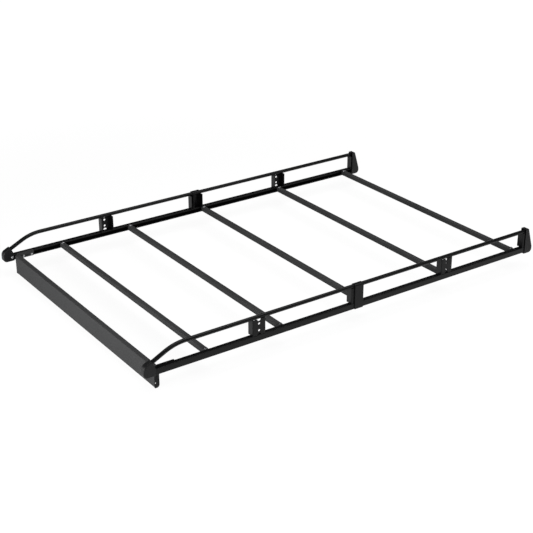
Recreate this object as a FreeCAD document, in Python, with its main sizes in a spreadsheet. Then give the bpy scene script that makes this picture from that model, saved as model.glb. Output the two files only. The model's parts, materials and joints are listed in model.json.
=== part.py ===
import FreeCAD, Part
import math
import os
import Sketcher

# Roof rack for a small van: two lipped side rails with a round tube above each one, five crossbars
# between them and a folded wind deflector across the front.
# X runs from the nose to the rear, Y from the left side to the right, Z up. The origin lies under the
# middle of the rack, level with the lowest points of the deflector.

doc = FreeCAD.newDocument("roof_rack")
sheet = doc.addObject("Spreadsheet::Sheet", "sizes")

# Driving sizes: millimetres, or degrees where the note says so
driving_sizes = (
    ("rack_length", 2000, "nose tips to rear cap tips"),
    ("rack_width", 1260, "over the outer faces of the rails"),
    ("fit_gap", 0.3, "clearance of a piece in its socket"),
    ("fold_radius", 0.5, "inside radius of every folded corner"),
    ("rail_height", 26, "rail section, upright"),
    ("rail_depth", 22, "rail section, across"),
    ("rail_wall", 2, "rail sheet"),
    ("rail_lip", 5, "lip beside the slot of the rail, over its outside"),
    ("tube_diameter", 17, "top tube, outside"),
    ("tube_wall", 1.5, "top tube, wall"),
    ("tube_height", 100, "tube axis over the underside of the rail"),
    ("tube_bend_start", 187, "start of the front bend behind the nose tip"),
    ("tube_bend_radius", 205, "front bend, at the axis"),
    ("tube_fall", 26, "slope of the tube as it enters the nose, degrees"),
    ("joint_x", -20, "plane where the front and rear side frames meet"),
    ("front_upright_x", -487.5, "middle of the front uprights"),
    ("rear_upright_x", 484.5, "middle of the rear uprights"),
    ("upright_width", 60, "upright along the rail"),
    ("upright_inset", 1, "upright web behind the outer face of the rail"),
    ("upright_depth", 32, "upright across, from its web to the edges of its flanges"),
    ("upright_sheet", 3, "sheet of the uprights and end posts"),
    ("upright_cope", 2.5, "upright beside the tube, over the tube's lowest line"),
    ("upright_hole", 10, "round holes of an upright"),
    ("upright_notch", 17, "half-round notches at the ends of an upright"),
    ("upright_bridge", 6, "sheet left between a notch and the hole next to it"),
    ("post_width", 13, "end post along the rail"),
    ("joint_gap", 2, "groove between the two side frames at the joint"),
    ("bracket_width", 48, "joint bracket along the rail"),
    ("cover_length", 42, "joint cover along the rail"),
    ("cover_wall", 3, "joint cover, wall"),
    ("cover_crown", 1.5, "joint cover over the tube"),
    ("cover_round", 8, "outer top corner of the joint cover"),
    ("nose_length", 50, "nose cap, tip to rear face"),
    ("nose_width", 26.5, "nose cap, across"),
    ("nose_sole", 3.5, "nose cap under the rail"),
    ("nose_shoulder", 2.5, "nose cap over the rail"),
    ("nose_collar", 21, "collar of the nose cap round the tube, diameter"),
    ("nose_collar_setback", 40, "middle of the collar's mouth behind the nose tip"),
    ("nose_chin_round", 18, "lower front corner of the nose cap"),
    ("nose_brow_round", 25, "upper front corner of the nose cap"),
    ("nose_edge_round", 5, "long edges of the nose cap"),
    ("nose_rail_socket", 25, "depth of the rail's socket"),
    ("nose_tube_socket", 17, "depth of the tube's socket"),
    ("cap_length", 45.5, "rear cap at its foot"),
    ("cap_top_length", 18.5, "rear cap at its top"),
    ("cap_width", 31.5, "rear cap, across"),
    ("cap_lap", 3, "rear cap beyond the outer face of the rail"),
    ("cap_wall", 2.5, "rear cap, wall"),
    ("cap_sole", 6, "rear cap under the rail"),
    ("cap_crown", 4, "rear cap over the tube"),
    ("cap_heel_height", 28, "upright stretch of the rear cap's back"),
    ("cap_heel_round", 18, "lower rear corner of the rear cap"),
    ("cap_crown_round", 7, "upper rear corner of the rear cap"),
    ("cap_edge_round", 4, "long edges of the rear cap"),
    ("cap_rail_reach", 25, "rail inside the rear cap"),
    ("cap_tube_reach", 11, "tube inside the rear cap"),
    ("bar_size", 21, "square crossbar"),
    ("bar_wall", 1.5, "crossbar, wall"),
    ("bar_corner", 2, "crossbar, outer corner"),
    ("front_bar_x", -714, "front crossbar"),
    ("second_bar_x", -367, "second crossbar"),
    ("middle_bar_x", 38.5, "middle crossbar"),
    ("fourth_bar_x", 487, "fourth crossbar"),
    ("rear_bar_x", 901.5, "rear crossbar"),
    ("deflector_gap", 5.5, "between the nose cap and the face of the deflector"),
    ("deflector_drop", 63.8, "lower edge of the deflector's face under the rails"),
    ("deflector_toe", 4.7, "end flanges of the deflector under its face"),
    ("deflector_rise", 18, "top of the deflector over the underside of the rails"),
    ("deflector_sheet", 2, "deflector sheet"),
    ("deflector_fold", 21.5, "top and end flanges of the deflector"),
    ("deflector_corner", 12, "lower rear corner of the end flanges"),
    ("tab_length", 88, "fixing tab along the rail, from the face"),
    ("tab_foot", 0.5, "lower edge of the tab over the underside of the rail"),
    ("tab_top", 29, "upper edge of the tab over the underside of the rail"),
    ("tab_slope", 14, "sloping front of the tab"),
    ("tab_corner", 4, "rear corners of the tab"),
    ("tab_hole", 8.5, "fixing holes of the tab"),
    ("tab_hole_rise", 9, "fixing holes of the tab over the underside of the rail"),
    ("tab_hole_start", 39, "first fixing hole behind the face"),
    ("tab_pitch", 38.5, "between the fixing holes of the tab"),
    ("drain_hole", 5, "hole in the lower corner of the end flange"),
    ("drain_back", 5, "that hole behind the face"),
    ("drain_rise", 16.5, "that hole over the lower edge"),
)


# A length together with the sheet formula that gives it, so that a piece is drawn at its size and bound to it
class Size:
    def __init__(self, value, text):
        self.value = value
        self.text = text

    def __add__(self, other):
        other = as_size(other)
        return Size(self.value + other.value, f"({self.text} + {other.text})")

    def __sub__(self, other):
        other = as_size(other)
        return Size(self.value - other.value, f"({self.text} - {other.text})")

    def __mul__(self, other):
        other = as_size(other)
        return Size(self.value * other.value, f"({self.text} * {other.text})")

    def __truediv__(self, other):
        other = as_size(other)
        return Size(self.value / other.value, f"({self.text} / {other.text})")

    def __neg__(self):
        return Size(-self.value, f"(0 - {self.text})")

    __rmul__ = __mul__


def as_size(number):
    if isinstance(number, Size):
        return number
    return Size(float(number), f"({number})")


def sine(angle):
    return Size(math.sin(math.radians(angle.value)), f"sin({angle.text} * 1 deg)")


def cosine(angle):
    return Size(math.cos(math.radians(angle.value)), f"cos({angle.text} * 1 deg)")


nil = as_size(0)
size = {}
for row, (alias, number, note) in enumerate(driving_sizes, start=1):
    sheet.set(f"A{row}", note)
    sheet.set(f"B{row}", str(number))
    sheet.setAlias(f"B{row}", alias)
    size[alias] = Size(float(number), f"sizes.{alias}")
doc.recompute()


# Places that several pieces share
nose_tip_x = -size["rack_length"] / 2
nose_rear_x = nose_tip_x + size["nose_length"]
cap_front_x = size["rack_length"] / 2 - size["cap_length"]
rail_base = size["deflector_drop"] + size["deflector_toe"]
rail_front_x = nose_rear_x - size["nose_rail_socket"] + size["fit_gap"]
rail_rear_x = cap_front_x + size["cap_rail_reach"]
inner_width = size["rack_width"] - 2 * size["rail_depth"]
frame_middle_y = (size["rack_width"] - size["rail_depth"]) / 2
joint_front_x = size["joint_x"] - size["joint_gap"] / 2
joint_rear_x = size["joint_x"] + size["joint_gap"] / 2
tube_radius = size["tube_diameter"] / 2
tube_underside = size["tube_height"] - tube_radius
upright_top = tube_underside + size["upright_cope"]
fall_sine = sine(size["tube_fall"])
fall_cosine = cosine(size["tube_fall"])
bend_start_x = nose_tip_x + size["tube_bend_start"]
bend_end_x = bend_start_x - size["tube_bend_radius"] * fall_sine
bend_end_height = size["tube_height"] - size["tube_bend_radius"] * (as_size(1) - fall_cosine)
collar_x = nose_tip_x + size["nose_collar_setback"]
collar_height = bend_end_height - (bend_end_x - collar_x) * fall_sine / fall_cosine
fold_outside = {
    "rail": size["fold_radius"] + size["rail_wall"],
    "upright": size["fold_radius"] + size["upright_sheet"],
    "deflector": size["fold_radius"] + size["deflector_sheet"],
}
sides = {"left": -1, "right": 1}
bodies = []


# Sketch and feature helpers
def bind(item, field, measure):
    setattr(item, field, measure.value)
    item.setExpression(field, measure.text)


def new_body(label, x=nil, y=nil, z=rail_base):
    body = doc.addObject("PartDesign::Body", label)
    body.Label = label
    body.Placement.Base = FreeCAD.Vector(x.value, y.value, z.value)
    for axis, measure in zip("xyz", (x, y, z)):
        body.setExpression(f"Placement.Base.{axis}", measure.text)
    bodies.append(body)
    return body


def new_sketch(body, role, lift=None):
    sketch = body.newObject("Sketcher::SketchObject", f"{body.Label}_{role[:2].lower()}_sketch")
    plane = next(item for item in body.Origin.OriginFeatures if item.Role == role)
    sketch.AttachmentSupport = [(plane, "")]
    sketch.MapMode = "FlatFace"
    if lift is not None:
        sketch.AttachmentOffset = FreeCAD.Placement(FreeCAD.Vector(0, 0, lift.value), FreeCAD.Rotation())
        sketch.setExpression("AttachmentOffset.Base.z", lift.text)
    return sketch


def hold_point(sketch, item, end, point):
    for kind, measure in zip(("DistanceX", "DistanceY"), point):
        index = sketch.addConstraint(Sketcher.Constraint(kind, -1, 1, item, end, measure.value))
        sketch.setExpression(f"Constraints[{index}]", measure.text)


def vector(point):
    return FreeCAD.Vector(point[0].value, point[1].value, 0)


def draw_outline(sketch, points):
    first = sketch.GeometryCount
    count = len(points)
    for index, point in enumerate(points):
        following = points[(index + 1) % count]
        sketch.addGeometry(Part.LineSegment(vector(point), vector(following)), False)
    for index, point in enumerate(points):
        following = first + (index + 1) % count
        sketch.addConstraint(Sketcher.Constraint("Coincident", first + index, 2, following, 1))
    for index, point in enumerate(points):
        hold_point(sketch, first + index, 1, point)


def draw_rectangle(sketch, low, high):
    draw_outline(sketch, [low, (high[0], low[1]), high, (low[0], high[1])])


def draw_circle(sketch, centre, diameter):
    shape = Part.Circle(vector(centre), FreeCAD.Vector(0, 0, 1), diameter.value / 2)
    item = sketch.addGeometry(shape, False)
    hold_point(sketch, item, 3, centre)
    index = sketch.addConstraint(Sketcher.Constraint("Diameter", item, diameter.value))
    sketch.setExpression(f"Constraints[{index}]", diameter.text)


def pad(body, sketch, length, symmetric=False, backwards=False):
    feature = body.newObject("PartDesign::Pad", f"{body.Label}_pad")
    feature.Profile = sketch
    bind(feature, "Length", length)
    feature.SideType = "Symmetric" if symmetric else "One side"
    feature.Reversed = backwards
    doc.recompute()
    return feature


# Cuts the outline away and makes sure that it met the piece
def pocket(body, sketch, depth=None, symmetric=True):
    before = body.Tip.Shape.Volume
    feature = body.newObject("PartDesign::Pocket", f"{body.Label}_pocket")
    feature.Profile = sketch
    feature.SideType = "Symmetric" if symmetric else "One side"
    if depth is None:
        feature.Type = "ThroughAll"
    else:
        bind(feature, "Length", depth)
    doc.recompute()
    if feature.Shape.Volume >= before:
        raise RuntimeError(f"{body.Label}: a pocket cut nothing")
    return feature


def fillet(body, edges, radius):
    base = body.Tip
    feature = body.newObject("PartDesign::Fillet", f"{body.Label}_fillet")
    feature.Base = (base, edges)
    bind(feature, "Radius", radius)
    doc.recompute()
    return feature


# Names the straight edges along one axis that pass through the given spots of the other two axes
def edges_along(body, axis, spots):
    shape = body.Tip.Shape
    along = "xyz".index(axis)
    across = [index for index in range(3) if index != along]
    names = []
    for number, edge in enumerate(shape.Edges, start=1):
        if not isinstance(edge.Curve, Part.Line):
            continue
        if abs(abs(edge.Curve.Direction[along]) - 1) > 1e-6:
            continue
        middle = edge.CenterOfMass
        for spot in spots:
            if all(abs(middle[index] - place.value) < 1e-3 for index, place in zip(across, spot)):
                names.append(f"Edge{number}")
    return names


def round_edges(body, axis, spots, radius):
    edges = edges_along(body, axis, spots)
    if len(edges) < len(spots):
        raise RuntimeError(f"{body.Label}: {len(edges)} edges found for {len(spots)} corners")
    return fillet(body, edges, radius)


# Names the edges of the two flat side faces that touch none of the given points of the side view
def side_edges(body, half_width, kept_sharp):
    names = []
    for number, edge in enumerate(body.Tip.Shape.Edges, start=1):
        ends = [vertex.Point for vertex in edge.Vertexes]
        if any(abs(abs(end.y) - half_width.value) > 1e-3 for end in ends):
            continue
        if abs(ends[0].y - ends[-1].y) > 1e-3:
            continue
        sharp = False
        for end in ends:
            for x, z in kept_sharp:
                if abs(end.x - x.value) < 1e-3 and abs(end.z - z.value) < 1e-3:
                    sharp = True
        if not sharp:
            names.append(f"Edge{number}")
    return names


# A side rail: sheet folded to a channel whose slot, between two lips, faces the middle of the rack
def make_rail(label, side, start_x, end_x):
    body = new_body(label, start_x, side * size["rack_width"] / 2)
    height, depth, wall, lip = (size[f"rail_{part}"] for part in ("height", "depth", "wall", "lip"))
    inward = [
        (nil, nil), (depth, nil), (depth, lip), (depth - wall, lip), (depth - wall, wall), (wall, wall),
        (wall, height - wall), (depth - wall, height - wall), (depth - wall, height - lip),
        (depth, height - lip), (depth, height), (nil, height),
    ]
    points = [(-side * across, up) for across, up in inward]
    sketch = new_sketch(body, "YZ_Plane")
    draw_outline(sketch, points)
    pad(body, sketch, end_x - start_x)
    round_edges(body, "x", [points[index] for index in (0, 1, 10, 11)], fold_outside["rail"])
    round_edges(body, "x", [points[index] for index in (4, 5, 6, 7)], size["fold_radius"])


# The front tube runs level from the joint, then bends down into the nose cap
def make_front_tube(label, side):
    body = new_body(label, nil, side * frame_middle_y)
    reach = size["nose_tube_socket"] - size["fit_gap"]
    route = [
        (size["joint_x"], size["tube_height"]),
        (bend_start_x, size["tube_height"]),
        (bend_end_x, bend_end_height),
        (collar_x - reach * fall_cosine, collar_height - reach * fall_sine),
    ]
    centre = (bend_start_x, size["tube_height"] - size["tube_bend_radius"])
    spine = new_sketch(body, "XZ_Plane")
    quarter = math.radians(90)
    arc = Part.ArcOfCircle(
        Part.Circle(vector(centre), FreeCAD.Vector(0, 0, 1), size["tube_bend_radius"].value),
        quarter, quarter + math.radians(size["tube_fall"].value))
    level = spine.addGeometry(Part.LineSegment(vector(route[0]), vector(route[1])), False)
    bend = spine.addGeometry(arc, False)
    slope = spine.addGeometry(Part.LineSegment(vector(route[2]), vector(route[3])), False)
    spine.addConstraint(Sketcher.Constraint("Coincident", level, 2, bend, 1))
    spine.addConstraint(Sketcher.Constraint("Coincident", bend, 2, slope, 1))
    hold_point(spine, level, 1, route[0])
    hold_point(spine, level, 2, route[1])
    hold_point(spine, bend, 3, centre)
    hold_point(spine, slope, 2, route[3])
    index = spine.addConstraint(Sketcher.Constraint("DistanceX", -1, 1, bend, 2, route[2][0].value))
    spine.setExpression(f"Constraints[{index}]", route[2][0].text)
    ring = new_sketch(body, "YZ_Plane", size["joint_x"])
    draw_circle(ring, (nil, size["tube_height"]), size["tube_diameter"])
    draw_circle(ring, (nil, size["tube_height"]), size["tube_diameter"] - 2 * size["tube_wall"])
    doc.recompute()
    pipe = body.newObject("PartDesign::AdditivePipe", f"{label}_pipe")
    pipe.Profile = ring
    pipe.Spine = (spine, ["Edge1", "Edge2", "Edge3"])
    doc.recompute()


def make_rear_tube(label, side):
    body = new_body(label, size["joint_x"], side * frame_middle_y)
    ring = new_sketch(body, "YZ_Plane")
    draw_circle(ring, (nil, size["tube_height"]), size["tube_diameter"])
    draw_circle(ring, (nil, size["tube_height"]), size["tube_diameter"] - 2 * size["tube_wall"])
    pad(body, ring, cap_front_x + size["cap_tube_reach"] - size["joint_x"])


# An upright is sheet folded to a channel, coped to the tube above it. The wide ones have holes and notches
def make_upright(label, side, middle_x, width, perforated):
    body = new_body(label, middle_x, side * (size["rack_width"] / 2 - size["upright_inset"]))
    thick, depth = size["upright_sheet"], size["upright_depth"]
    half = width / 2
    inward = [
        (-half, nil), (half, nil), (half, depth), (half - thick, depth), (half - thick, thick),
        (thick - half, thick), (thick - half, depth), (-half, depth),
    ]
    points = [(along, -side * across) for along, across in inward]
    section = new_sketch(body, "XY_Plane", size["rail_height"])
    draw_outline(section, points)
    pad(body, section, upright_top - size["rail_height"])
    round_edges(body, "z", [points[0], points[1]], fold_outside["upright"])
    round_edges(body, "z", [points[4], points[5]], size["fold_radius"])
    tube_place = -side * (size["rail_depth"] / 2 - size["upright_inset"])
    cope = new_sketch(body, "YZ_Plane")
    draw_circle(cope, (tube_place, size["tube_height"]), size["tube_diameter"])
    pocket(body, cope)
    if perforated:
        holes = new_sketch(body, "XZ_Plane")
        hole_rise = (size["upright_notch"] + size["upright_hole"]) / 2 + size["upright_bridge"]
        for end, step in ((size["rail_height"], 1), (upright_top, -1)):
            draw_circle(holes, (nil, end), size["upright_notch"])
            draw_circle(holes, (nil, end + step * hole_rise), size["upright_hole"])
        pocket(body, holes)


# The joint cover lies on the outer face of the rail behind the joint and hoods the tube
def make_joint_cover(label, side):
    body = new_body(label, joint_rear_x, side * size["rack_width"] / 2)
    wall = size["cover_wall"]
    depth = size["rail_depth"]
    top = size["tube_height"] + tube_radius + size["cover_crown"]
    inward = [
        (-wall, nil), (-wall, top), (depth, top), (depth, size["tube_height"]),
        (nil, size["tube_height"]), (nil, nil),
    ]
    points = [(-side * across, up) for across, up in inward]
    section = new_sketch(body, "YZ_Plane")
    draw_outline(section, points)
    pad(body, section, size["cover_length"])
    bore = new_sketch(body, "YZ_Plane")
    draw_circle(bore, (-side * depth / 2, size["tube_height"]), size["tube_diameter"])
    pocket(body, bore)
    round_edges(body, "x", [points[1], points[2]], size["cover_round"])


# The nose cap is a thumb-shaped moulding with a socket for the rail and one for the sloping tube
def make_nose_cap(label, side):
    body = new_body(label, nose_tip_x, side * frame_middle_y)
    length = size["nose_length"]
    collar_radius = size["nose_collar"] / 2
    mouth_x = size["nose_collar_setback"]
    brow = collar_height - mouth_x * fall_sine / fall_cosine + collar_radius / fall_cosine
    chin = -size["nose_sole"]
    outline = {
        "chin": (nil, chin),
        "brow": (nil, brow),
        "collar_top": (mouth_x - collar_radius * fall_sine, collar_height + collar_radius * fall_cosine),
        "collar_foot": (mouth_x + collar_radius * fall_sine, collar_height - collar_radius * fall_cosine),
        "shoulder": (length, size["rail_height"] + size["nose_shoulder"]),
        "heel": (length, chin),
    }
    section = new_sketch(body, "XZ_Plane")
    draw_outline(section, list(outline.values()))
    pad(body, section, size["nose_width"], symmetric=True)
    round_edges(body, "y", [outline["chin"]], size["nose_chin_round"])
    round_edges(body, "y", [outline["brow"]], size["nose_brow_round"])
    sharp = [outline["collar_foot"], outline["shoulder"]]
    fillet(body, side_edges(body, size["nose_width"] / 2, sharp), size["nose_edge_round"])
    half_socket = size["rail_depth"] / 2 + size["fit_gap"]
    rail_socket = new_sketch(body, "YZ_Plane", length)
    draw_rectangle(rail_socket, (-half_socket, -size["fit_gap"]),
                   (half_socket, size["rail_height"] + size["fit_gap"]))
    pocket(body, rail_socket, size["nose_rail_socket"], symmetric=False)
    bore = tube_radius + size["fit_gap"]
    mouth = (mouth_x, collar_height)
    floor = (mouth_x - size["nose_tube_socket"] * fall_cosine,
             collar_height - size["nose_tube_socket"] * fall_sine)
    aside = (-bore * fall_sine, bore * fall_cosine)
    tube_socket = new_sketch(body, "XZ_Plane")
    draw_outline(tube_socket, [
        mouth, floor, (floor[0] + aside[0], floor[1] + aside[1]), (mouth[0] + aside[0], mouth[1] + aside[1])])
    before = body.Tip.Shape.Volume
    groove = body.newObject("PartDesign::Groove", f"{label}_groove")
    groove.Profile = tube_socket
    groove.ReferenceAxis = (tube_socket, ["Edge1"])
    groove.Angle = 360
    doc.recompute()
    if groove.Shape.Volume >= before:
        raise RuntimeError(f"{label}: the tube's socket cut nothing")


# The rear cap is a hollow moulding, open to the front, that closes the rail, the tube and the end post
def make_rear_cap(label, side):
    middle_y = size["rack_width"] / 2 + size["cap_lap"] - size["cap_width"] / 2
    body = new_body(label, cap_front_x, side * middle_y)
    length, top_length, wall = size["cap_length"], size["cap_top_length"], size["cap_wall"]
    sole = -size["cap_sole"]
    heel = sole + size["cap_heel_height"]
    crown = size["tube_height"] + tube_radius + size["cap_crown"]
    outline = [(nil, sole), (length, sole), (length, heel), (top_length, crown), (nil, crown)]
    section = new_sketch(body, "XZ_Plane")
    draw_outline(section, outline)
    pad(body, section, size["cap_width"], symmetric=True)
    round_edges(body, "y", [outline[1]], size["cap_heel_round"])
    round_edges(body, "y", [outline[3]], size["cap_crown_round"])
    mouth = edges_along(body, "z", [(nil, step * size["cap_width"] / 2) for step in (-1, 1)])
    rounded = [name for name in side_edges(body, size["cap_width"] / 2, []) if name not in mouth]
    fillet(body, rounded, size["cap_edge_round"])
    hollow = new_sketch(body, "XZ_Plane")
    chamfer = size["cap_heel_round"] - wall
    draw_outline(hollow, [
        (-wall, sole + wall), (length - wall - chamfer, sole + wall), (length - wall, sole + wall + chamfer),
        (length - wall, heel), (top_length - wall, crown - wall), (-wall, crown - wall)])
    pocket(body, hollow, size["cap_width"] - 2 * wall)


# A crossbar is square tube that meets the lips of both rails
def make_crossbar(label, middle_x):
    body = new_body(label, middle_x)
    centre = size["rail_height"] / 2
    outer = size["bar_size"] / 2
    inner = outer - size["bar_wall"]
    section = new_sketch(body, "XZ_Plane")
    corners = {}
    for half in (outer, inner):
        low = (-half, centre - half)
        high = (half, centre + half)
        draw_rectangle(section, low, high)
        corners[half] = [low, (high[0], low[1]), high, (low[0], high[1])]
    pad(body, section, inner_width, symmetric=True)
    round_edges(body, "y", corners[outer], size["bar_corner"])
    round_edges(body, "y", corners[inner], size["bar_corner"] - size["bar_wall"])


# The deflector is one folded sheet: face, top flange and two end flanges with a fixing tab along each rail
def make_deflector(label):
    body = new_body(label, nose_rear_x + size["deflector_gap"])
    thick, fold = size["deflector_sheet"], size["deflector_fold"]
    foot, top = -size["deflector_drop"], size["deflector_rise"]
    face = [(nil, foot), (thick, foot), (thick, top - thick), (fold, top - thick), (fold, top), (nil, top)]
    section = new_sketch(body, "XZ_Plane")
    draw_outline(section, face)
    pad(body, section, inner_width, symmetric=True)
    round_edges(body, "y", [face[5]], fold_outside["deflector"])
    round_edges(body, "y", [face[2]], size["fold_radius"])
    tab_end = size["tab_length"]
    toe = foot - size["deflector_toe"]
    flange = [
        (nil, toe), (fold, toe), (fold, size["tab_foot"]), (tab_end, size["tab_foot"]),
        (tab_end, size["tab_top"]), (size["tab_slope"], size["tab_top"]),
        (nil, top - fold_outside["deflector"]),
    ]
    end_sketch = new_sketch(body, "XZ_Plane", inner_width / 2)
    draw_outline(end_sketch, flange)
    end_pad = pad(body, end_sketch, thick, backwards=True)
    holes = new_sketch(body, "XZ_Plane", inner_width / 2)
    for step in (0, 1):
        place = size["tab_hole_start"] + step * size["tab_pitch"]
        draw_circle(holes, (place, size["tab_hole_rise"]), size["tab_hole"])
    draw_circle(holes, (size["drain_back"], foot + size["drain_rise"]), size["drain_hole"])
    end_holes = pocket(body, holes, thick * 2, symmetric=True)
    mirror = body.newObject("PartDesign::Mirrored", f"{label}_mirror")
    mirror.Originals = [end_pad, end_holes]
    mirror.MirrorPlane = (next(item for item in body.Origin.OriginFeatures if item.Role == "XZ_Plane"), [""])
    body.Tip = mirror
    doc.recompute()
    round_edges(body, "y", [flange[0]], size["deflector_toe"])
    round_edges(body, "y", [flange[1]], size["deflector_corner"])
    round_edges(body, "y", [flange[3], flange[4]], size["tab_corner"])


for side_name, side in sides.items():
    make_rail(f"{side_name}_front_rail", side, rail_front_x, size["joint_x"])
    make_rail(f"{side_name}_rear_rail", side, size["joint_x"], rail_rear_x)
    make_front_tube(f"{side_name}_front_top_tube", side)
    make_rear_tube(f"{side_name}_rear_top_tube", side)
    for place in ("front", "rear"):
        place_x = size[f"{place}_upright_x"]
        make_upright(f"{side_name}_{place}_upright", side, place_x, size["upright_width"], True)
    joint_post_x = joint_front_x - size["post_width"] / 2
    bracket_x = joint_rear_x + size["bracket_width"] / 2
    rear_post_x = cap_front_x - size["post_width"] / 2
    make_upright(f"{side_name}_joint_post", side, joint_post_x, size["post_width"], False)
    make_upright(f"{side_name}_joint_bracket", side, bracket_x, size["bracket_width"], False)
    make_upright(f"{side_name}_rear_post", side, rear_post_x, size["post_width"], False)
    make_joint_cover(f"{side_name}_joint_cover", side)
    make_nose_cap(f"{side_name}_nose_cap", side)
    make_rear_cap(f"{side_name}_rear_cap", side)

for place in ("front", "second", "middle", "fourth", "rear"):
    make_crossbar(f"{place}_crossbar", size[f"{place}_bar_x"])

make_deflector("wind_deflector")
doc.recompute()

# Nothing is written unless every object is sound
for item in doc.Objects:
    if "Invalid" in item.State or "Error" in item.State:
        raise RuntimeError(f"{item.Label} failed: {item.State}")
for body in bodies:
    if body.Shape.isNull() or not body.Shape.isValid():
        raise RuntimeError(f"{body.Label} has no sound shape")
    if len(body.Shape.Solids) != 1:
        raise RuntimeError(f"{body.Label} is {len(body.Shape.Solids)} solids")

os.makedirs("parts", exist_ok=True)
for body in bodies:
    body.Shape.exportStep(f"parts/{body.Label}.step")
    print(f"{body.Label}: {body.Shape.Volume / 1000:.1f} cubic centimetres")
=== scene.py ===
import bpy
import json
import math
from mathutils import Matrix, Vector


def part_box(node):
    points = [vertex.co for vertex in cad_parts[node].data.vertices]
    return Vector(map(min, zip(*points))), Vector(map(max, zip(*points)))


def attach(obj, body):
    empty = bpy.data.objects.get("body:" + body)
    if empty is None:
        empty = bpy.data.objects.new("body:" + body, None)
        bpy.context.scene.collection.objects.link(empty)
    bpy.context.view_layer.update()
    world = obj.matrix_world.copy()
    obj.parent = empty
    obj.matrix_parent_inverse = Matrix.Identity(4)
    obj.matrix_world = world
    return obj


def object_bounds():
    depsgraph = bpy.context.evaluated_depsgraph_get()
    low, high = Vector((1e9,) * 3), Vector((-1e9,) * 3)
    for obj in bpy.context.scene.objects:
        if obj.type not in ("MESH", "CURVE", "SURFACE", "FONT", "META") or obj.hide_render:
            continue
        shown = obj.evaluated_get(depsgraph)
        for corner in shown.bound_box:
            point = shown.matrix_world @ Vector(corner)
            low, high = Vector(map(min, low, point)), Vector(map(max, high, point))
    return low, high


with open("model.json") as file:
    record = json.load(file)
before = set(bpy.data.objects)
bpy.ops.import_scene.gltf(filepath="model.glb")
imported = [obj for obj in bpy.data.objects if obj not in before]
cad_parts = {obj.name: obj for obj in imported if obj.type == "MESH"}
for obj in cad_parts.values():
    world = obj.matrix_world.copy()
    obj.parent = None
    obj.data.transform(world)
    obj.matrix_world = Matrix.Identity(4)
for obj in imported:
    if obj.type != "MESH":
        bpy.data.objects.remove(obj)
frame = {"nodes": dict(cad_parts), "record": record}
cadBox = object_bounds()
nodes = frame["nodes"]
scene = bpy.context.scene
sideSign = {"left": -1, "right": 1}
print("frame loaded:", len(nodes), "nodes")


def addObject(name, data):
    made = bpy.data.objects.new(name, data)
    scene.collection.objects.link(made)
    return made


# helpers for node trees

def newTree(name, kind, inputs, outputs):
    tree = bpy.data.node_groups.new(name, kind)
    for direction, sockets in (("INPUT", inputs), ("OUTPUT", outputs)):
        for label, socketKind in sockets.items():
            tree.interface.new_socket(label, in_out=direction, socket_type=socketKind)
    return tree, tree.nodes.new("NodeGroupInput"), tree.nodes.new("NodeGroupOutput")


def setOrLink(tree, socket, value):
    if isinstance(value, (int, float)):
        socket.default_value = value
    else:
        tree.links.new(value, socket)


def addMath(tree, operation, first, second):
    node = tree.nodes.new("ShaderNodeMath")
    node.operation = operation
    setOrLink(tree, node.inputs[0], first)
    setOrLink(tree, node.inputs[1], second)
    return node.outputs[0]


def addRamp(tree, value, fromRange, toRange):
    ramp = tree.nodes.new("ShaderNodeMapRange")
    ramp.interpolation_type = "SMOOTHSTEP"
    tree.links.new(value, ramp.inputs["Value"])
    labels = ("From Min", "From Max", "To Min", "To Max")
    for label, number in zip(labels, (*fromRange, *toRange)):
        setOrLink(tree, ramp.inputs[label], number)
    return ramp.outputs["Result"]


def addNoise(tree, scale, detail, vector):
    noise = tree.nodes.new("ShaderNodeTexNoise")
    noise.inputs["Detail"].default_value = detail
    tree.links.new(scale, noise.inputs["Scale"])
    tree.links.new(vector, noise.inputs["Vector"])
    return noise.outputs["Fac"]


# orange-peel skin of a sprayed or moulded surface: fine grain over a slow drift
skinLook = {
    "grainDetail": 3.0, "grainRange": (0.35, 0.7), "grainShare": 0.55,
    "driftDetail": 2.0, "driftRange": (0.3, 0.7), "driftShare": 0.45,
    "roughRange": (0.1, 0.9),
}


def makeSkinGroup():
    group, source, sink = newTree("surfaceSkin", "ShaderNodeTree", {
        "Position": "NodeSocketVector",
        "Dark": "NodeSocketColor",
        "Light": "NodeSocketColor",
        "Grain Scale": "NodeSocketFloat",
        "Drift Scale": "NodeSocketFloat",
        "Rough Low": "NodeSocketFloat",
        "Rough High": "NodeSocketFloat",
    }, {
        "Color": "NodeSocketColor",
        "Roughness": "NodeSocketFloat",
        "Height": "NodeSocketFloat",
    })
    link = group.links.new
    given = source.outputs
    grain = addNoise(group, given["Grain Scale"], skinLook["grainDetail"], given["Position"])
    drift = addNoise(group, given["Drift Scale"], skinLook["driftDetail"], given["Position"])
    speck = addRamp(group, grain, skinLook["grainRange"], (0, 1))
    cloud = addRamp(group, drift, skinLook["driftRange"], (0, 1))
    blend = addMath(group, "ADD",
                    addMath(group, "MULTIPLY", speck, skinLook["grainShare"]),
                    addMath(group, "MULTIPLY", cloud, skinLook["driftShare"]))
    mix = group.nodes.new("ShaderNodeMix")
    mix.data_type = "RGBA"
    link(blend, mix.inputs["Factor"])
    link(given["Dark"], mix.inputs["A"])
    link(given["Light"], mix.inputs["B"])
    link(mix.outputs["Result"], sink.inputs["Color"])
    rough = addRamp(group, blend, skinLook["roughRange"],
                    (given["Rough Low"], given["Rough High"]))
    link(rough, sink.inputs["Roughness"])
    link(grain, sink.inputs["Height"])
    return group


skinGroup = makeSkinGroup()


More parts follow.
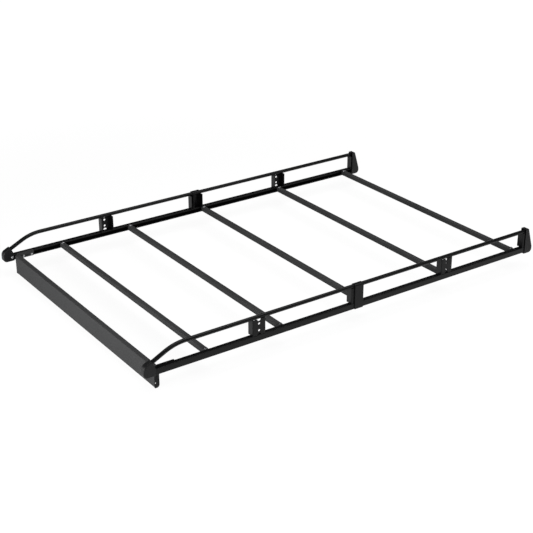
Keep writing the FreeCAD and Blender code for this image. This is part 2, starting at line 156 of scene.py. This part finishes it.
def makeCoat(name, look):
    material = bpy.data.materials.new(name)
    material.use_nodes = True
    tree = material.node_tree
    link = tree.links.new
    shader = tree.nodes["Principled BSDF"]
    coords = tree.nodes.new("ShaderNodeTexCoord")
    skin = tree.nodes.new("ShaderNodeGroup")
    skin.node_tree = skinGroup
    skin.inputs["Dark"].default_value = (*look["dark"], 1)
    skin.inputs["Light"].default_value = (*look["light"], 1)
    skin.inputs["Grain Scale"].default_value = look["grainScale"]
    skin.inputs["Drift Scale"].default_value = look["driftScale"]
    skin.inputs["Rough Low"].default_value = look["roughLow"]
    skin.inputs["Rough High"].default_value = look["roughHigh"]
    link(coords.outputs["Object"], skin.inputs["Position"])
    link(skin.outputs["Color"], shader.inputs["Base Color"])
    link(skin.outputs["Roughness"], shader.inputs["Roughness"])
    relief = tree.nodes.new("ShaderNodeBump")
    relief.inputs["Strength"].default_value = look["bumpStrength"]
    relief.inputs["Distance"].default_value = look["bumpDepth"]
    link(skin.outputs["Height"], relief.inputs["Height"])
    link(relief.outputs["Normal"], shader.inputs["Normal"])
    shader.inputs["Specular IOR Level"].default_value = look["specular"]
    shader.inputs["Metallic"].default_value = look["metal"]
    return material


# finishes: colours are linear, grain and drift are in cells per metre
coats = {
    "frame_coat": {
        "dark": (0.0030, 0.0031, 0.0034), "light": (0.0062, 0.0063, 0.0067),
        "grainScale": 700, "driftScale": 5, "roughLow": 0.30, "roughHigh": 0.40,
        "bumpStrength": 0.25, "bumpDepth": 0.0004, "specular": 0.18, "metal": 0,
    },
    "bar_coat": {
        "dark": (0.042, 0.0424, 0.0432), "light": (0.064, 0.0644, 0.0652),
        "grainScale": 620, "driftScale": 7, "roughLow": 0.48, "roughHigh": 0.62,
        "bumpStrength": 0.35, "bumpDepth": 0.0005, "specular": 0.03, "metal": 0,
    },
    # the deflector's coat is the bars' charcoal set a little darker, as painted shade for its top
    # fold
    "deflector_coat": {
        "dark": (0.0390, 0.0394, 0.0402), "light": (0.0605, 0.0609, 0.0617),
        "grainScale": 620, "driftScale": 4, "roughLow": 0.50, "roughHigh": 0.64,
        "bumpStrength": 0.35, "bumpDepth": 0.0005, "specular": 0.06, "metal": 0,
    },
    "cap_moulding": {
        "dark": (0.0055, 0.0056, 0.0060), "light": (0.0105, 0.0106, 0.0112),
        "grainScale": 1100, "driftScale": 14, "roughLow": 0.42, "roughHigh": 0.58,
        "bumpStrength": 0.45, "bumpDepth": 0.0004, "specular": 0.26, "metal": 0,
    },
    "zinc": {
        "dark": (0.33, 0.335, 0.345), "light": (0.50, 0.505, 0.515),
        "grainScale": 420, "driftScale": 60, "roughLow": 0.24, "roughHigh": 0.38,
        "bumpStrength": 0.12, "bumpDepth": 0.0002, "specular": 0.5, "metal": 1,
    },
}
finishes = {slot: makeCoat(slot, look) for slot, look in coats.items()}

for entry in frame["record"]["subparts"]:
    piece = nodes[entry["node"]]
    piece.data.materials.clear()
    piece.data.materials.append(finishes[entry["material_slot"]])


# bolts and screws: a washer and a crowned head on each point, turned to the point's own axis

def makeBoltTree():
    tree, source, sink = newTree("boltHeads", "GeometryNodeTree", {
        "Geometry": "NodeSocketGeometry",
        "Head Sides": "NodeSocketInt",
        "Head Radius": "NodeSocketFloat",
        "Head Height": "NodeSocketFloat",
        "Crown Height": "NodeSocketFloat",
        "Crown Scale": "NodeSocketFloat",
        "Washer Sides": "NodeSocketInt",
        "Washer Radius": "NodeSocketFloat",
        "Washer Height": "NodeSocketFloat",
        "Finish": "NodeSocketMaterial",
    }, {"Geometry": "NodeSocketGeometry"})
    add = tree.nodes.new
    link = tree.links.new
    given = source.outputs

    def half(socket):
        return addMath(tree, "MULTIPLY", socket, 0.5)

    def addDisc(part):
        disc = add("GeometryNodeMeshCylinder")
        link(given[part + " Sides"], disc.inputs["Vertices"])
        link(given[part + " Radius"], disc.inputs["Radius"])
        link(given[part + " Height"], disc.inputs["Depth"])
        return disc.outputs

    def lift(geometry, height):
        place = add("ShaderNodeCombineXYZ")
        link(height, place.inputs["Z"])
        move = add("GeometryNodeTransform")
        link(geometry, move.inputs["Geometry"])
        link(place.outputs[0], move.inputs["Translation"])
        return move.outputs["Geometry"]

    def crowned(mesh, top):
        raised = add("GeometryNodeExtrudeMesh")
        raised.mode = "FACES"
        raised.inputs["Individual"].default_value = False
        link(mesh, raised.inputs["Mesh"])
        link(top, raised.inputs["Selection"])
        link(given["Crown Height"], raised.inputs["Offset Scale"])
        narrow = add("GeometryNodeScaleElements")
        link(raised.outputs["Mesh"], narrow.inputs["Geometry"])
        link(raised.outputs["Top"], narrow.inputs["Selection"])
        link(given["Crown Scale"], narrow.inputs["Scale"])
        return narrow.outputs["Geometry"]

    washer = addDisc("Washer")
    head = addDisc("Head")
    rise = addMath(tree, "ADD", half(given["Head Height"]), given["Washer Height"])
    bolt = add("GeometryNodeJoinGeometry")
    link(lift(washer["Mesh"], half(given["Washer Height"])), bolt.inputs[0])
    link(lift(crowned(head["Mesh"], head["Top"]), rise), bolt.inputs[0])

    axis = add("GeometryNodeInputNamedAttribute")
    axis.data_type = "FLOAT_VECTOR"
    axis.inputs["Name"].default_value = "boltAxis"
    turn = add("FunctionNodeAlignRotationToVector")
    turn.axis = "Z"
    link(axis.outputs["Attribute"], turn.inputs["Vector"])
    spread = add("GeometryNodeInstanceOnPoints")
    link(given["Geometry"], spread.inputs["Points"])
    link(bolt.outputs[0], spread.inputs["Instance"])
    link(turn.outputs[0], spread.inputs["Rotation"])
    real = add("GeometryNodeRealizeInstances")
    link(spread.outputs[0], real.inputs[0])
    paint = add("GeometryNodeSetMaterial")
    link(real.outputs[0], paint.inputs["Geometry"])
    link(given["Finish"], paint.inputs["Material"])
    link(paint.outputs[0], sink.inputs["Geometry"])
    return tree


boltTree = makeBoltTree()


def makeBolts(name, spots, sizes):
    mesh = bpy.data.meshes.new(name + "Points")
    mesh.from_pydata([place for place, axis in spots], [], [])
    layer = mesh.attributes.new("boltAxis", "FLOAT_VECTOR", "POINT")
    for item, (place, axis) in zip(layer.data, spots):
        item.vector = axis
    points = addObject(name + "Points", mesh)
    modifier = points.modifiers.new("boltHeads", "NODES")
    modifier.node_group = boltTree
    settings = {**sizes, "Finish": finishes["zinc"]}
    for item in boltTree.interface.items_tree:
        if item.in_out == "INPUT" and item.name in settings:
            modifier[item.identifier] = settings[item.name]
    depsgraph = bpy.context.evaluated_depsgraph_get()
    made = bpy.data.meshes.new_from_object(points.evaluated_get(depsgraph))
    made.name = name
    bolts = addObject(name, made)
    bpy.data.objects.remove(points)
    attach(bolts, "root")
    print(name, len(spots), "heads,", len(made.polygons), "faces")


# crossbar bolts, one on top of each end
barBolt = {
    "Head Sides": 6, "Head Radius": 0.0062, "Head Height": 0.0034,
    "Crown Height": 0.0009, "Crown Scale": 0.86,
    "Washer Sides": 32, "Washer Radius": 0.0078, "Washer Height": 0.0013,
    "inset": 0.007,  # from the end of the bar
}
barSpots = []
for place in ("front", "second", "middle", "fourth", "rear"):
    low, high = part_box(place + "_crossbar")
    for sign in sideSign.values():
        across = sign * (high.y - barBolt["inset"])
        barSpots.append((((low.x + high.x) / 2, across, high.z), (0, 0, 1)))
makeBolts("crossbar_bolts", barSpots, barBolt)

# deflector bolts, two through each tab into the rail
tabBolt = {
    "Head Sides": 24, "Head Radius": 0.0043, "Head Height": 0.0012,
    "Crown Height": 0.0015, "Crown Scale": 0.56,
    "Washer Sides": 32, "Washer Radius": 0.0049, "Washer Height": 0.0008,
    "back": 0.039, "pitch": 0.0385,  # along the tab, from the front of the deflector
    "rise": 0.009,  # above the bottom of the rail
    "sheet": 0.002,
}
deflectorLow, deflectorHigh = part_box("wind_deflector")
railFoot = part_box("left_front_rail")[0].z
tabSpots = []
for sign in sideSign.values():
    inner = sign * (deflectorHigh.y - tabBolt["sheet"])
    for step in (0, 1):
        along = deflectorLow.x + tabBolt["back"] + step * tabBolt["pitch"]
        tabSpots.append(((along, inner, railFoot + tabBolt["rise"]), (0, -sign, 0)))
makeBolts("deflector_bolts", tabSpots, tabBolt)

# nose screws, one in the inner face of each nose cap
noseScrew = {
    "Head Sides": 28, "Head Radius": 0.0058, "Head Height": 0.0012,
    "Crown Height": 0.0014, "Crown Scale": 0.62,
    "Washer Sides": 32, "Washer Radius": 0.0066, "Washer Height": 0.0008,
    "back": 0.0415,  # from the tip of the cap
    "rise": 0.0157,  # above the bottom of the rail
}
noseSpots = []
for side, sign in sideSign.items():
    low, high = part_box(side + "_nose_cap")
    inner = high.y if sign < 0 else low.y
    spot = (low.x + noseScrew["back"], inner, railFoot + noseScrew["rise"])
    noseSpots.append((spot, (0, -sign, 0)))
makeBolts("nose_screws", noseSpots, noseScrew)


# floor: a pale disc with a low rim, white where it is seen or mirrored,
# with the rack's own soft shadow left in it
floorLook = {
    "reach": 50.0, "rim": 5.3, "facets": 72,
    "drop": 0.0005,  # below the rack
    "tone": 0.45,  # grey that lights the rack from below
    "shadow": 0.14,  # grey that the shadow takes away from
    "nearGlow": 0.91, "farGlow": 1.0, "fadeStart": 1.4, "fadeEnd": 4.0,
}


def makeFloorFinish():
    material = bpy.data.materials.new("paleFloor")
    material.use_nodes = True
    tree = material.node_tree
    add = tree.nodes.new
    link = tree.links.new
    tree.nodes.remove(tree.nodes["Principled BSDF"])
    matte = add("ShaderNodeBsdfDiffuse")
    matte.inputs["Color"].default_value = (floorLook["tone"],) * 3 + (1,)
    white = add("ShaderNodeEmission")
    white.inputs["Color"].default_value = (1, 1, 1, 1)
    coords = add("ShaderNodeTexCoord")
    distance = add("ShaderNodeVectorMath")
    distance.operation = "LENGTH"
    link(coords.outputs["Object"], distance.inputs[0])
    glow = addRamp(tree, distance.outputs["Value"],
                   (floorLook["fadeStart"], floorLook["fadeEnd"]),
                   (floorLook["nearGlow"], floorLook["farGlow"]))
    link(glow, white.inputs["Strength"])
    faint = add("ShaderNodeBsdfDiffuse")
    faint.inputs["Color"].default_value = (floorLook["shadow"],) * 3 + (1,)
    shown = add("ShaderNodeAddShader")
    link(white.outputs[0], shown.inputs[0])
    link(faint.outputs[0], shown.inputs[1])
    ray = add("ShaderNodeLightPath").outputs
    mirrored = addMath(tree, "MAXIMUM", ray["Is Glossy Ray"], ray["Is Transmission Ray"])
    seen = addMath(tree, "MAXIMUM", ray["Is Camera Ray"], mirrored)
    choose = add("ShaderNodeMixShader")
    link(seen, choose.inputs[0])
    link(matte.outputs[0], choose.inputs[1])
    link(shown.outputs[0], choose.inputs[2])
    link(choose.outputs[0], tree.nodes["Material Output"].inputs["Surface"])
    return material


def makeFloor():
    count = floorLook["facets"]
    reach = floorLook["reach"]
    height = cadBox[0].z - floorLook["drop"]
    angles = [2 * math.pi * step / count for step in range(count)]
    points = [(reach * math.cos(angle), reach * math.sin(angle), height + rise)
              for rise in (0, floorLook["rim"]) for angle in angles]
    wall = []
    for step in range(count):
        following = (step + 1) % count
        wall.append((step, step + count, following + count, following))
    mesh = bpy.data.meshes.new("floor")
    mesh.from_pydata(points, [], [tuple(range(count))] + wall)
    mesh.materials.append(makeFloorFinish())
    addObject("floor", mesh)


makeFloor()


# light: a soft box over the rear half, a low wide one ahead of the nose, a weak one from the left
lamps = {
    "overhead": {"place": (0.9, -0.8, 4.0), "target": (0.8, -0.3, 0),
                 "size": (4.4, 4.4), "power": 163},
    "ahead": {"place": (-2.6, -0.3, 0.45), "target": (0, 0, 0.1),
              "size": (1.8, 0.7), "power": 38},
    "leftSide": {"place": (-0.6, -5.0, 2.4), "target": (0, 0, 0.1),
                 "size": (3.0, 3.0), "power": 5.5},
}
for name, lamp in lamps.items():
    data = bpy.data.lights.new(name, "AREA")
    data.shape = "RECTANGLE"
    data.size, data.size_y = lamp["size"]
    data.energy = lamp["power"]
    light = addObject(name, data)
    light.location = lamp["place"]
    aim = Vector(lamp["target"]) - Vector(lamp["place"])
    light.rotation_euler = aim.to_track_quat("-Z", "Y").to_euler()

worldTone = 0.03
world = bpy.data.worlds.new("studio")
scene.world = world
world.use_nodes = True
sky = world.node_tree.nodes["Background"]
sky.inputs["Color"].default_value = (1, 1, 1, 1)
sky.inputs["Strength"].default_value = worldTone
scene.view_settings.view_transform = "Standard"

# camera: turned 35 degrees from the left side to the nose and raised 25 degrees
view = {"place": (-2.8097, -3.9934, 2.2909), "round": 35, "up": 25, "field": 25, "reach": 90}
cameraData = bpy.data.cameras.new("camera")
cameraData.sensor_fit = "HORIZONTAL"
cameraData.angle = math.radians(view["field"])
cameraData.clip_end = view["reach"]
camera = addObject("camera", cameraData)
camera.location = view["place"]
camera.rotation_euler = (math.radians(90 - view["up"]), 0, math.radians(-view["round"]))
bpy.context.scene.camera = camera
print("stage, lamps and camera ready")
